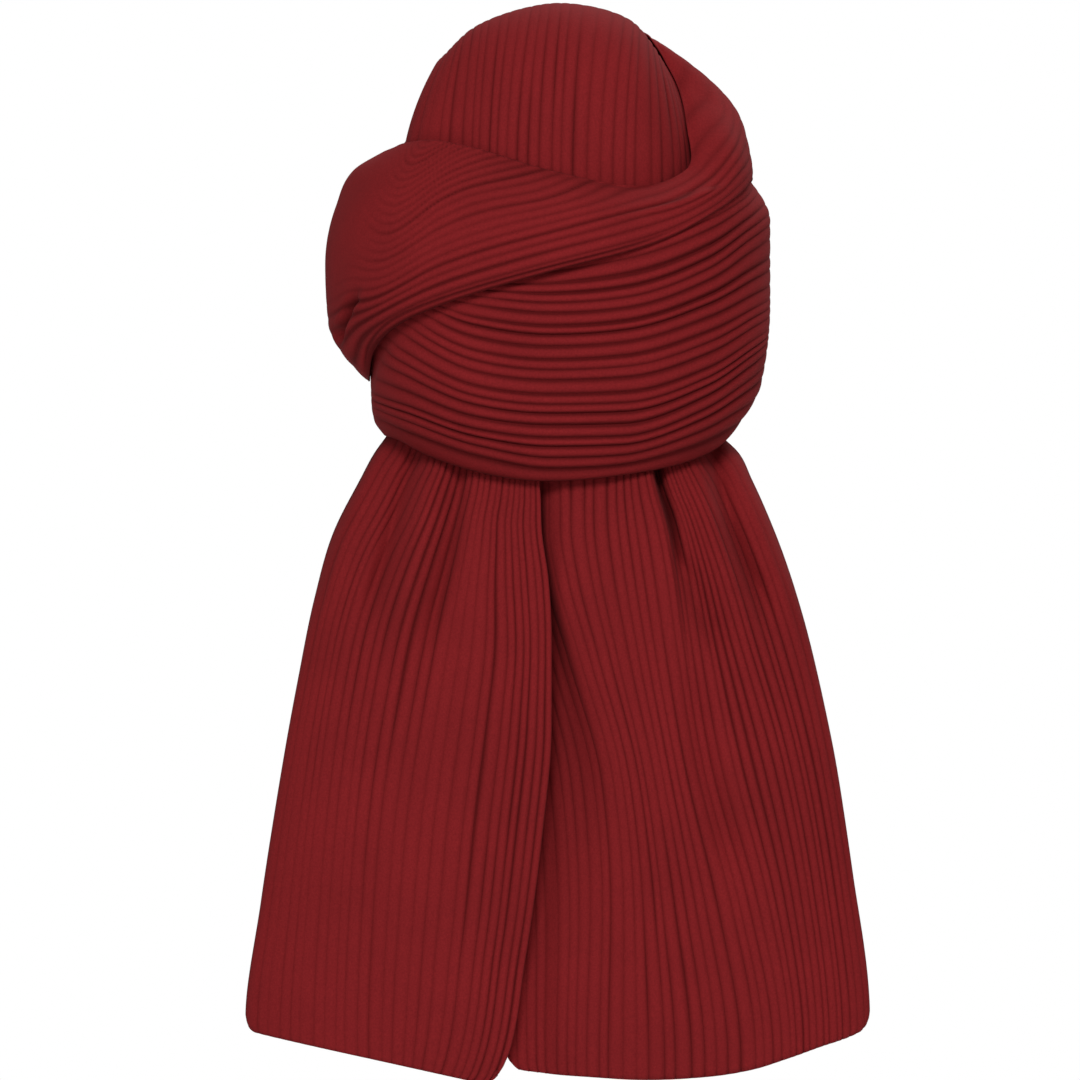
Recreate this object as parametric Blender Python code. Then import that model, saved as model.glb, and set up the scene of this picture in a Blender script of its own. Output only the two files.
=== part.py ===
"""A long pleated scarf, wound round a neck and hanging in two tails, as a hollow form with no wearer in it.

Run with: blender --background --python part.py

Metres, +Z up, front towards -Y. Sizes below are in millimetres. The origin is the middle of the neck hollow.
Five stretches of the one cloth: the crown arches over the top from front to back, wrap_under is the band round
the neck, wrap_over comes down on the right and crosses over the band, and two tails hang from inside the band.
"""

import math

import bpy
import numpy as np

MM = 0.001

# The cloth
WALL = 1.2  # thickness at the bottom of a pleat
SEAM = 0.4  # between two stretches of cloth that meet
FOOT_SEAM = 0.75  # between the crown's foot and the tails, whose pleats are spaced differently
PLEAT_STEEPNESS = 0.27  # most depth of a pleat, as a share of its width
PLEATS_CROWN = 36
PLEATS_UNDER = 20
PLEATS_OVER = 14
PLEATS_LEFT = 24
PLEATS_RIGHT = 34
PLEAT_DEPTH = 1.7
PLEAT_DEPTH_OVER = 1.3

# The neck ring, seen from above: an ellipse with a flatter back
RING_HALF_WIDTH = 133
RING_FRONT = 105
RING_BACK = 95
RING_SECTIONS = 36
SEATED_FROM = 0.86  # from this share of its way down, the upper wrap closes on the band
SLOPE_ALLOWANCE = 1.7  # over the crown's slope a wall takes up this many times its own thickness
EDGE_MARGIN = 4  # what lies this far above or below a height still counts as beneath it
REACH_SAMPLES = 121  # points along a curve where another stretch's reach is measured

# The band's rim: low in front, high behind
RIM_SIDE_Z = -63
RIM_TILT = 29

# The crown stands on its foot inside the band, goes straight up to its spring line, then arches over
CROWN_FOOT_RISE = 29  # above the band's rim
CROWN_HALF_DEPTH = 75
CROWN_SPRING_Z = 84
CROWN_BOW = 0.9  # under 1 is a squarer arch
CROWN_STEPS = (0, 16, 32, 47, 60, 71, 81)  # degrees up the arch
CROWN_INNER_STEP = 4  # inner faces span this many outer ones

# Angles round the ring: 0 in front, 90 at the right, 180 behind. Radii are shares of the ring's own.
UNDER_AT = (0, 0.2, 0.5, 0.8, 0.92, 1)
UNDER_COLUMNS = "angle top_z low_z r0 r20 r50 r80 r92 r100"
UNDER_ROWS = (
    (-180, 90, -34, 0.88, 0.95, 0.97, 0.93, 0.86, 0.78),
    (-135, 60, -42, 0.86, 0.91, 0.92, 0.90, 0.84, 0.77),
    (-90, 40, -63, 0.78, 0.79, 0.778, 0.78, 0.778, 0.74),
    (-45, 42, -83, 0.90, 0.94, 0.94, 0.90, 0.84, 0.77),
    (0, 52, -92, 0.90, 0.99, 1.00, 0.955, 0.89, 0.80),
    (45, 78, -83, 0.83, 0.985, 1.00, 0.955, 0.885, 0.79),
    (90, 98, -63, 0.80, 0.99, 0.985, 0.945, 0.86, 0.78),
    (135, 100, -42, 0.86, 0.97, 0.98, 0.94, 0.87, 0.79),
)

OVER_AT = (0, 0.1, 0.25, 0.5, 0.75, 0.9, 1)
OVER_COLUMNS = "angle top_z low_z r0 r10 r25 r50 r75 r90 r100"
OVER_ROWS = (
    (-180, 155, 42, 0.60, 0.70, 0.84, 0.95, 1.00, 1.00, 0.98),
    (-150, 135, 20, 0.66, 0.77, 0.90, 0.99, 1.02, 1.01, 0.97),
    (-120, 118, -8, 0.68, 0.83, 0.94, 1.00, 1.01, 0.98, 0.90),
    (-90, 109, -36, 0.69, 0.88, 0.957, 1.005, 0.992, 0.90, 0.83),
    (-75, 110, -33, 0.71, 0.87, 0.955, 1.01, 1.00, 0.93, 0.87),
    (-60, 111, -22, 0.74, 0.85, 0.95, 1.01, 1.02, 0.99, 0.94),
    (-45, 112, 4, 0.765, 0.84, 0.93, 1.00, 1.03, 1.02, 0.99),
    (-30, 108, 16, 0.76, 0.84, 0.92, 1.00, 1.03, 1.03, 1.01),
    (0, 93, 36, 0.745, 0.82, 0.91, 1.00, 1.035, 1.045, 1.03),
    (30, 84, 58, 0.765, 0.83, 0.90, 0.97, 1.01, 1.02, 1.02),
    (50, 95, 70, 0.81, 0.85, 0.90, 0.96, 0.995, 1.00, 1.00),
    (62, 122, 76, 0.74, 0.80, 0.87, 0.94, 0.97, 0.985, 0.985),
    (75, 147, 84, 0.60, 0.68, 0.78, 0.88, 0.93, 0.95, 0.955),
    (90, 176, 87, 0.44, 0.50, 0.665, 0.83, 0.896, 0.91, 0.93),
    (120, 180, 80, 0.45, 0.52, 0.66, 0.82, 0.91, 0.95, 0.96),
    (150, 172, 62, 0.52, 0.60, 0.74, 0.88, 0.96, 0.99, 0.98),
)

# One row for each arch of the crown, left to right; u counts pleats from the middle
ARCH_COLUMNS = "u foot_x top_x top_z half_depth"
ARCH_ROWS = (
    (-1.00, -90, -71, 154, 0),
    (-0.89, -88.5, -68, 159, 17),
    (-0.78, -86, -64, 163, 32),
    (-0.72, -80, -61, 166, 43),
    (-0.50, -53, -46, 180, 62),
    (-0.17, -20, -11, 193, 74),
    (0.00, 0, 6, 195, CROWN_HALF_DEPTH),
    (0.33, 43, 49, 184, 72),
    (0.50, 66, 61, 170, 60),
    (0.61, 78, 66, 162, 47),
    (0.72, 84, 69, 157, 35),
    (0.86, 87, 72, 153, 18),
    (1.00, 88, 73, 150, 0),
)

# One row for each level of a tail: the height of its outer edge, how much lower its middle is, where five pleat
# lines cross it, from the outer edge to the inner one, and how far forward the drape stands at its edge and middle
TAIL_AT = (0, 0.25, 0.5, 0.75, 1)
TAIL_COLUMNS = "edge_z dip round x0 x25 x50 x75 x100 edge_y middle_y"
LEFT_ROWS = (
    (-34.5, 29, 1.0, -84, -66, -46, -24, -3, -6, -75),
    (-63, 29, 1.0, -91.5, -72, -48, -25, -3, -5, -73),
    (-73, 29, 1.0, -105, -77, -50, -26, -3, -10, -74),
    (-90, 29, 0.9, -113, -81, -54, -28, -3, -20, -77),
    (-120, 28, 0.8, -128, -93, -62, -33, 0, -30, -80),
    (-160, 26, 0.6, -140, -106, -72, -39, 1, -38, -84),
    (-210, 26, 0.4, -152, -120, -84, -47, 1, -45, -88),
    (-270, 27, 0.2, -163, -130, -94, -56, -4, -52, -92),
    (-340, 33, 0.1, -172, -137, -99, -61, -14, -57, -95),
    (-409.5, 39, 0.03, -180.5, -141, -103, -66, -29, -60, -96),
    (-414.5, 39, 0.03, -178.5, -140, -103, -67, -33, -60, -96),
)
RIGHT_ROWS = (
    (-34.5, 29, 1.0, 82, 61, 27, -14, -38, -6, -75),
    (-63, 29, 1.0, 96, 63, 27, -14, -38, -5, -73),
    (-73, 29, 1.0, 112, 66, 27, -14, -37, -10, -74),
    (-90, 29, 0.9, 120, 70, 28, -13, -36, -20, -76),
    (-120, 28, 0.8, 133, 82, 31, -9, -34, -30, -78),
    (-160, 26, 0.7, 147, 90, 35, -4, -29, -38, -81),
    (-210, 25, 0.6, 161, 98, 42, 2, -24, -45, -85),
    (-270, 26, 0.6, 171, 108, 54, 14, -19, -52, -89),
    (-340, 30, 0.6, 182, 127, 73, 25, -24, -57, -92),
    (-409.5, 29, 0.9, 189.5, 136, 85, 27, -26, -60, -93),
    (-414.5, 29, 0.9, 187.5, 135, 85, 28, -24, -60, -93),
)

# The largest soft folds of the tails: a line from top to bottom, its half width, and how far out it stands
# there, with the share of that left at its two ends
FOLD_COLUMNS = "top_x top_z low_x low_z half_width out at_ends"
LEFT_FOLDS = (
    (-52, -84, -62, -190, 7, -5, 0),  # trough under the band
    (-80, -78, -118, -200, 10, -3, 0),
    (-30, -90, -34, -260, 16, 3, 0),
)
RIGHT_FOLDS = (
    (8, -90, 12, -210, 8, -9, 0),  # gap beside the left tail
    (6, -170, 8, -420, 20, -9, 0.5),  # flank in shadow
    (64, -84, 82, -210, 6, -7, 0),  # overlap on the right
    (90, -76, 136, -170, 9, -4, 0),
    (40, -90, 66, -330, 16, 3, 0),
)
FOLD_RISE = 1.6  # a fold grows this fast from its ends to its middle, and is level once it is whole
LEFT_LIFT = 5  # below the band the left tail comes forward, over the right one
LIFT_Z = (-70, -130)  # where it starts to and where it has
LAP_DEPTH = 6.5  # the right tail's inner edge lies this far behind the left tail
LAP_X = (-3, 9)  # between these the right tail comes forward again


def table(columns, rows):
    """The rows as one array for each named column."""
    return dict(zip(columns.split(), np.array(rows, float).T))


def smooth(at, known_at, known, period=None):
    """A curve through the known values with no overshoot: cubic pieces whose slopes are limited (Fritsch-Carlson)."""
    x, y = np.asarray(known_at, float), np.asarray(known, float)
    at = np.asarray(at, float)
    if period:
        at = (at - x[0]) % period + x[0]
        x = np.concatenate([x[-2:] - period, x, x[:2] + period])
        y = np.concatenate([y[-2:], y, y[:2]])
    step = np.diff(x)
    slope = np.diff(y) / step
    turn = slope[:-1] * slope[1:] <= 0
    mean = (slope[:-1] * step[1:] + slope[1:] * step[:-1]) / (step[:-1] + step[1:])
    limit = 2 * np.minimum(abs(slope[:-1]), abs(slope[1:]))
    inner = np.where(turn, 0, np.sign(mean) * np.minimum(abs(mean), limit))
    tangent = np.concatenate([[slope[0]], inner, [slope[-1]]])
    i = np.clip(np.searchsorted(x, at, side="right") - 1, 0, len(step) - 1)
    t = np.clip((at - x[i]) / step[i], 0, 1)
    start = (1 + 2 * t) * (1 - t) ** 2 * y[i] + t * (1 - t) ** 2 * step[i] * tangent[i]
    return start + t**2 * (3 - 2 * t) * y[i + 1] + t**2 * (t - 1) * step[i] * tangent[i + 1]


def ease(share):
    """0 to 1 with a soft start and end."""
    t = np.clip(share, 0, 1)
    return t**2 * (3 - 2 * t)


def columns_at(rows, key, at, names, period=None):
    """The named columns, each followed smoothly to the given values of the key column, side by side."""
    return np.stack([smooth(at, rows[key], rows[name], period) for name in names], axis=-1)


def ring_point(angle, radius, z):
    """Degrees round the ring and a share of its radius, as x, y, z."""
    turn = np.radians(angle)
    depth = np.where(np.cos(turn) > 0, RING_FRONT, RING_BACK)
    x = RING_HALF_WIDTH * radius * np.sin(turn)
    y = -depth * radius * np.cos(turn)
    return np.stack(np.broadcast_arrays(x, y, z), axis=-1)


def ring_reach(angle):
    """The ring's own radius at an angle, in millimetres."""
    return np.linalg.norm(ring_point(angle, 1.0, 0.0), axis=-1)


def normals(points, wrap=False):
    """Unit normals of a grid of points; with wrap, its first axis closes on itself."""
    grid = np.concatenate([points[-1:], points, points[:1]]) if wrap else points
    along = np.gradient(grid, axis=0)
    along = along[1:-1] if wrap else along
    normal = np.cross(along, np.gradient(points, axis=1))
    return normal / np.maximum(np.linalg.norm(normal, axis=-1, keepdims=True), 1e-9)


def zigzag(count):
    """0 in each groove and 1 on each ridge, two points for each pleat, with a groove at both ends."""
    return np.arange(2 * count + 1) % 2


def pleat_height(points, count, depth, axis):
    """How far each point of a pleated grid stands out, less where the pleats crowd."""
    step = np.linalg.norm(np.diff(points, axis=axis), axis=-1)
    width = 2 * np.concatenate([step, np.take(step, [-1], axis=axis)], axis=axis)
    ridge = zigzag(count)
    ridge = ridge[None, :] if axis == 1 else ridge[:, None]
    return ridge * np.minimum(depth, PLEAT_STEEPNESS * width)


def wrap_profile(rows, at, angle, share):
    """A wrap's radius and height at an angle, for shares of the way from its upper edge to its lower one."""
    names = [name for name in rows if name.startswith("r")]
    knots = columns_at(rows, "angle", angle, names, 360)
    top, low = columns_at(rows, "angle", angle, ("top_z", "low_z"), 360)
    return smooth(share, at, knots), top + (low - top) * np.asarray(share)


def crown_grid(u, rise):
    """Arches at the given u, as their front points from the spring line up. rise is in degrees, 90 at the top."""
    arches = table(ARCH_COLUMNS, ARCH_ROWS)
    foot_x, top_x, top_z, half = columns_at(arches, "u", u, ("foot_x", "top_x", "top_z", "half_depth")).T
    up = np.sin(np.radians(rise))[:, None]
    inward = np.cos(np.radians(rise))[:, None] ** CROWN_BOW
    x = foot_x + (top_x - foot_x) * up**2
    y = -half * inward
    z = CROWN_SPRING_Z + (top_z - CROWN_SPRING_Z) * up
    return np.stack(np.broadcast_arrays(x, y, z), axis=-1)


def crown_reach(angle, z):
    """How far out the crown's pleats reach at an angle of the ring and a height, as a share of the radius."""
    u = np.linspace(-1, 1, REACH_SAMPLES)
    fine = crown_grid(u, np.linspace(0, 90, REACH_SAMPLES))
    level = max(z - EDGE_MARGIN, CROWN_SPRING_Z)
    x = np.array([np.interp(level, fine[:, k, 2], fine[:, k, 0], right=np.nan) for k in range(len(u))])
    y = np.array([np.interp(level, fine[:, k, 2], fine[:, k, 1], right=np.nan) for k in range(len(u))])
    front = np.cos(math.radians(angle)) > 0
    depth = RING_FRONT if front else RING_BACK
    at = np.degrees(np.arctan2(x / RING_HALF_WIDTH, -y / depth if front else y / depth))
    there = ~np.isnan(at)
    if there.sum() < 2:
        return 0.0
    order = np.argsort(at[there])
    radius = np.hypot(x / RING_HALF_WIDTH, y / depth)[there][order]
    wanted = (angle + 180) % 360 - 180
    return float(np.interp(wanted, at[there][order], radius)) + PLEAT_DEPTH / ring_reach(angle)


def under_reach(angle, z):
    """The same for the band."""
    share = np.linspace(0, 1, REACH_SAMPLES)
    radius, height = wrap_profile(table(UNDER_COLUMNS, UNDER_ROWS), UNDER_AT, angle, share)
    near = (z - EDGE_MARGIN, z, z + EDGE_MARGIN)
    at = np.interp(near, height[::-1], radius[::-1], left=0, right=0)
    return float(at.max()) + PLEAT_DEPTH / ring_reach(angle)


def mesh_object(name, points, faces):
    """One closed body in its own cloth, with its faces turned outwards."""
    mesh = bpy.data.meshes.new(name)
    mesh.from_pydata((np.asarray(points) * MM).tolist(), [], faces)
    mesh.validate()
    mesh.materials.append(cloth(name))
    body = bpy.data.objects.new(name, mesh)
    bpy.context.scene.collection.objects.link(body)
    turn_outwards(mesh)
    mesh.shade_smooth()
    mesh.set_sharp_from_angle(angle=math.radians(40))
    return body


def turn_outwards(mesh):
    """Flips the faces if the volume that they close is negative."""
    mesh.calc_loop_triangles()
    corners = np.array([[mesh.vertices[i].co for i in tri.vertices] for tri in mesh.loop_triangles])
    if np.linalg.det(corners).sum() < 0:
        mesh.flip_normals()


def cloth(name):
    """Dark red pleated cloth: matte, with no metal in it."""
    material = bpy.data.materials.new(name)
    material.use_nodes = True
    shader = material.node_tree.nodes["Principled BSDF"]
    shader.inputs["Base Color"].default_value = (0.19, 0.018, 0.020, 1)
    shader.inputs["Roughness"].default_value = 0.85
    shader.inputs["Metallic"].default_value = 0.0
    return material


def tube(name, outer, inner):
    """A ring of cloth: each section is its outer points followed by its inner ones, and the sections close round."""
    loops = np.concatenate([outer, inner[:, ::-1]], axis=1)
    count, size = loops.shape[:2]
    faces = []
    for i in range(count):
        a, b = i * size, (i + 1) % count * size
        faces += [(a + j, a + (j + 1) % size, b + (j + 1) % size, b + j) for j in range(size)]
    return mesh_object(name, loops.reshape(-1, 3), faces)


def make_wrap(name, rows, at, pleats, depth, plain_step, clear=None):
    """A stretch that goes round the neck, pleated along its length outside and plain inside."""
    angles = np.arange(RING_SECTIONS) * 360 / RING_SECTIONS - 180
    share = np.linspace(0, 1, 2 * pleats + 1)
    profiles = [wrap_profile(rows, at, angle, share) for angle in angles]
    radius = np.array([p[0] for p in profiles])
    height = np.array([p[1] for p in profiles])
    if clear:
        least = np.array([[clear(a, z) for z in line] for a, line in zip(angles, height)])
        seated = ease((share - SEATED_FROM) / (1 - SEATED_FROM))
        radius = np.maximum(radius, least) * (1 - seated) + least * seated
    base = ring_point(angles[:, None], radius, height)
    out = -normals(base, wrap=True)
    outer = base + out * pleat_height(base, pleats, depth, 1)[..., None]
    plain = slice(None, None, plain_step)
    return tube(name, outer, base[:, plain] - out[:, plain] * WALL)


def over_clear(angle, z):
    """The least radius of the upper wrap's base, so that its inner face passes over the crown and the band."""
    reach = float(ring_reach(angle))
    over_crown = crown_reach(angle, z) + (SEAM + SLOPE_ALLOWANCE * WALL) / reach
    return max(over_crown, under_reach(angle, z) + (SEAM + WALL) / reach)


def foot_z(y):
    """The height of the crown's foot where its line stands at y: low in front, high behind."""
    return RIM_SIDE_Z + CROWN_FOOT_RISE + RIM_TILT * y / CROWN_HALF_DEPTH


def foot_y(x):
    """How far forward the crown's foot stands at x."""
    foot = crown_grid(np.linspace(-1, 1, 2 * PLEATS_CROWN + 1), np.zeros(1))[0]
    return np.interp(x, foot[:, 0], foot[:, 1])


def crown_skin(u, inset, ridge):
    """The crown's skin as rings from the foot up, then its spine. It is moved in by inset, and out by ridge."""
    arch = crown_grid(u, np.array(CROWN_STEPS + (90,), float))
    out = -normals(arch)
    out[:, 0] = (-1, 0, 0)
    out[:, -1] = (1, 0, 0)
    out[-1] = (0, 0, 1)
    front = arch + out * (ridge - inset)[..., None]
    back = front * (1, -1, 1)
    rings = np.concatenate([front[:-1], back[:-1, -2:0:-1]], axis=1)
    foot = rings[0].copy()
    foot[:, 2] = foot_z(np.concatenate([arch[0, :, 1], -arch[0, -2:0:-1, 1]]))
    return np.concatenate([foot[None], rings]), front[-1]


def skin_faces(rings, spine, first):
    """Faces of a skin whose points start at the index first: rings in order, then the spine over the top."""
    levels, size = rings.shape[:2]
    half = len(spine) - 1
    faces = []
    for level in range(levels - 1):
        a = first + level * size
        faces += [(a + j, a + (j + 1) % size, a + size + (j + 1) % size, a + size + j) for j in range(size)]
    top, ridge = first + (levels - 1) * size, first + levels * size
    for j in range(half):
        front, behind = top + j, top + (2 * half - j) % size
        next_behind, spine_at = top + 2 * half - j - 1, ridge + j
        if j < half / 2:
            faces += [(front, front + 1, spine_at), (front + 1, spine_at + 1, spine_at)]
            faces += [(behind, spine_at, next_behind), (spine_at, spine_at + 1, next_behind)]
        else:
            faces += [(front, front + 1, spine_at + 1), (front, spine_at + 1, spine_at)]
            faces += [(behind, spine_at, spine_at + 1), (behind, spine_at + 1, next_behind)]
    return faces


def make_crown():
    """A dome of parallel pleats: arches side by side, closed down both sides and open at the foot."""
    u = np.linspace(-1, 1, 2 * PLEATS_CROWN + 1)
    levels = len(CROWN_STEPS) + 1
    arch = crown_grid(u, np.array(CROWN_STEPS + (90,), float))
    ridge = pleat_height(arch, PLEATS_CROWN, PLEAT_DEPTH, 1)
    ridge[:, (0, -1)] = 0
    outer, outer_spine = crown_skin(u, np.zeros((levels, len(u))), ridge)
    plain_u = u[::CROWN_INNER_STEP]
    plain = np.zeros((levels, len(plain_u)))
    inner, inner_spine = crown_skin(plain_u, plain + WALL, plain)
    points = np.concatenate([part.reshape(-1, 3) for part in (outer, outer_spine, inner, inner_spine)])
    start = outer.size // 3 + len(outer_spine)
    inner_faces = [face[::-1] for face in skin_faces(inner, inner_spine, start)]
    faces = skin_faces(outer, outer_spine, 0) + inner_faces
    size, step = outer.shape[1], CROWN_INNER_STEP
    small = size // step
    for i in range(small):
        near, far = start + i, start + (i + 1) % small
        edge = [(i * step + k) % size for k in range(step + 1)]
        middle = step // 2
        faces += [(edge[k + 1], edge[k], near) for k in range(middle)]
        faces += [(edge[k + 1], edge[k], far) for k in range(middle, step)]
        faces.append((near, far, edge[middle]))
    return mesh_object("crown", points, faces)


def tail_base(rows, across, folds, lift, lap):
    """A tail's cloth with no pleats in it: a grid of levels from the top down, with points from the outer edge in."""
    names = [name for name in rows if name.startswith("x")]
    lines = np.stack([rows[name] for name in names], axis=1)
    x = np.array([smooth(across, TAIL_AT, line) for line in lines])
    reach = np.abs(rows["x0"])[:, None]
    inward = np.clip(1 - (x / reach) ** 2, 0, 1) ** 0.5
    straight = 1 - np.abs(x) / reach
    round_share = rows["round"][:, None]
    dip = round_share * inward + (1 - round_share) * straight
    z = rows["edge_z"][:, None] - rows["dip"][:, None] * dip
    edge_y, middle_y = rows["edge_y"][:, None], rows["middle_y"][:, None]
    y = edge_y + (middle_y - edge_y) * inward
    y[0] = foot_y(x[0])
    z[0] = foot_z(y[0]) - FOOT_SEAM
    y = y - fold_lift(x, z, folds) - lift * ease((LIFT_Z[0] - z) / (LIFT_Z[0] - LIFT_Z[1]))
    y = y + lap * ease((LAP_X[1] - x) / (LAP_X[1] - LAP_X[0]))
    return np.stack([x, y, z], axis=-1)


def fold_lift(x, z, folds):
    """How far the folds bring each point forward: a soft ridge or trough along each fold's line."""
    lift = np.zeros_like(x)
    for row in folds:
        fold = dict(zip(FOLD_COLUMNS.split(), row))
        down = (fold["top_z"] - z) / (fold["top_z"] - fold["low_z"])
        centre = fold["top_x"] + (fold["low_x"] - fold["top_x"]) * np.clip(down, 0, 1)
        along = ease(FOLD_RISE * (1 - np.abs(2 * down - 1)) + fold["at_ends"])
        lift += fold["out"] * np.exp(-(((x - centre) / fold["half_width"]) ** 2)) * along
    return lift


def make_tail(name, rows, pleats, folds, lift=0, lap=0):
    """A hanging end, pleated on both faces."""
    across = np.linspace(0, 1, 2 * pleats + 1)
    base = tail_base(rows, across, folds, lift, lap)
    out = normals(base)
    out *= -np.sign(out[..., 1:2])
    height = pleat_height(base, pleats, PLEAT_DEPTH, 1)[..., None]
    front, back = base + out * height, base + out * (height - WALL)
    loops = np.concatenate([front, back[:, ::-1]], axis=1)
    levels, size = loops.shape[:2]
    faces = []
    for i in range(levels - 1):
        a, b = i * size, (i + 1) * size
        faces += [(a + j, a + (j + 1) % size, b + (j + 1) % size, b + j) for j in range(size)]
    last = (levels - 1) * size
    for j in range(size // 2 - 1):
        faces.append((j, size - 1 - j, size - 2 - j, j + 1))
        faces.append((last + j, last + j + 1, last + size - 2 - j, last + size - 1 - j))
    return mesh_object(name, loops.reshape(-1, 3), faces)


def main():
    for old in list(bpy.data.objects):
        bpy.data.objects.remove(old)
    make_crown()
    under = table(UNDER_COLUMNS, UNDER_ROWS)
    over = table(OVER_COLUMNS, OVER_ROWS)
    make_wrap("wrap_under", under, UNDER_AT, PLEATS_UNDER, PLEAT_DEPTH, 5)
    make_wrap("wrap_over", over, OVER_AT, PLEATS_OVER, PLEAT_DEPTH_OVER, 2, over_clear)
    make_tail("tail_left", table(TAIL_COLUMNS, LEFT_ROWS), PLEATS_LEFT, LEFT_FOLDS, lift=LEFT_LIFT)
    make_tail("tail_right", table(TAIL_COLUMNS, RIGHT_ROWS), PLEATS_RIGHT, RIGHT_FOLDS, lap=LAP_DEPTH)


main()
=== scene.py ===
"""The scarf dressed for its picture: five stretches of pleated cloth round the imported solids, and a studio.

Metres, +Z up, front towards -Y. Tables and names in capitals hold millimetres unless they say otherwise.
Every stretch is a grid of points worked out with numpy, ribbed along its normals, then given its thickness.
"""

import math

import bpy
import numpy as np
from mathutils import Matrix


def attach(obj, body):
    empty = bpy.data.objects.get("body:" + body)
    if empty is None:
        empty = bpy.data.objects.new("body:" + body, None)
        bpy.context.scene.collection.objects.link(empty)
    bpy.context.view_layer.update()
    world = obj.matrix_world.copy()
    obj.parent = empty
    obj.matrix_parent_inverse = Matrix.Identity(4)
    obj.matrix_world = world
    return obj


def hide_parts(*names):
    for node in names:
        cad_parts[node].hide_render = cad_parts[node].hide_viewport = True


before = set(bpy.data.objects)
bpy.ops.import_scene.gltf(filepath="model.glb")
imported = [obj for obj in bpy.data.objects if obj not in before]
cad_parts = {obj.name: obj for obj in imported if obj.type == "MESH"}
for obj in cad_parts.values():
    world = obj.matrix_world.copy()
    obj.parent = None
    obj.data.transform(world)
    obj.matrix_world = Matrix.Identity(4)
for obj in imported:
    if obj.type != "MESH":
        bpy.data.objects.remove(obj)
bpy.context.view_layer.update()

MM = 0.001

# The cloth
THICKNESS = 0.8
SEAM = 0.4  # between two stretches that meet
FOOT_SEAM = 0.75  # between the crown's foot and the tails
RIDGE = 1.2  # every pleat's ridge stands this far off the surface that the tables give
RIB_SHAPE = 0.55  # the lower this power, the flatter a ridge and the narrower a groove
BAND_SHAPE = 0.65
OVER_SHAPE = 0.85  # the upper wrap's pleats are pulled rounder
RIB_STEEPNESS = 0.27  # the most depth of a groove, as a share of its pleat's width
BAND_STEEPNESS = 0.42
UNEVEN = 0.16  # how far a groove may lie from its even place, as a share of a pleat's width
OWN_DEPTH = (0.6, 1.15)  # each groove's own share of the depth lies between these
DRIFT = 0.3  # how much that share changes along the groove
DRIFT_KNOTS = 8
DRIFT_SPAN = 6.999  # just under the last knot's number, so that each place has a knot past it

# Seeds of the random draws: the grooves' depths first, then their places, or the upper wrap's wandering
CROWN_SEEDS = (11, 12)
BAND_SEEDS = (23, 21)
OVER_SEEDS = (31, 5)
LEFT_SEEDS = (41, 42)
RIGHT_SEEDS = (43, 44)

# How many ribs each stretch has, and how many points lie across one
CROWN_RIBS, CROWN_POINTS = 36, 9
BAND_RIBS, BAND_POINTS = 22, 10
LEFT_RIBS, LEFT_POINTS = 25, 12
RIGHT_RIBS, RIGHT_POINTS = 37, 10

# How finely each stretch is drawn the other way
CROWN_ARCH_ROWS = 62
CROWN_WALL_ROWS = 12
BAND_SECTIONS = 218
OVER_SECTIONS = 380
OVER_ACROSS = 127
LEFT_LEVELS = 162
RIGHT_LEVELS = 133

# The neck ring, seen from above: an ellipse with a flatter back. Its rim, below, is tilted down to the front
RING_HALF_WIDTH = 133
RING_FRONT = 105
RING_BACK = 95
RIM_SIDE_Z = -63
RIM_TILT = 29
RING_MIDDLE = (0, 0, 0)  # the crown and the band face away from here
SIDE_FADE = 0.75  # both wraps' grooves are this much shallower at the far left and right
SIDE_FADE_POWER = 14

# The upper wrap's edges and pleats
LIP = 5  # its lower edge turns in over this width
LIP_GROOVE = 1.2  # a crisp groove just above the lower edge, between these angles
LIP_GROOVE_AT = 3.6
LIP_GROOVE_HALF_WIDTH = 0.9
LIP_GROOVE_ANGLES = (-80, -60, 15, 40)
UPPER_THINS = 9  # its ridges run out over these widths at its upper and lower edges
LOWER_THINS = 3
LOWER_LEAST = 0.3  # how far along that run the lower edge itself lies
EDGE_CROWDING = 0.3  # its grid is this much finer at its lower edge
WANDER = 0.3  # how far its pleats wander from even places, in pleats
WANDER_KNOTS = (14, 5)
WANDER_FROM_EDGE = 20  # they don't wander at its lower edge, and do in full this far from it
WRAP_MIDDLE = (0, 0, 60)  # it faces away from here

# How the upper wrap keeps off the crown and the band
SLOPE_ALLOWANCE = 1.5  # thicknesses to leave on the crown, which slopes
CROWN_MARGIN = 0.6  # the crown is measured this far below each point
BAND_MARGIN = 2  # and the band this far above and below it too
BAND_TOP_FALL = 0.03  # above the band's top edge its reach falls by this share for each mm
REACH_SAMPLES = 121
REACH_LEVELS = 80

# The crown
CROWN_FOOT_RISE = 29  # how far its foot lies above the rim
CROWN_HALF_DEPTH = 75
CROWN_SPRING_Z = 84  # up to here its walls are straight, and above it its arches curve over
CROWN_BOW = 0.9  # the power of their curve: 1 is an ellipse
CROWN_GROOVE = 0.85
TOP_FADE = 0.7  # the crown's grooves are this much shallower at its top
TOP_FADE_HEIGHT = 22
LEFT_FADE = 0.5  # and this much shallower at its left, past this u
LEFT_FADE_U = (-0.4, -0.75)
SIDE_THINS = 6  # its ridges run out at both sides, over a sixth of its half width

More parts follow.
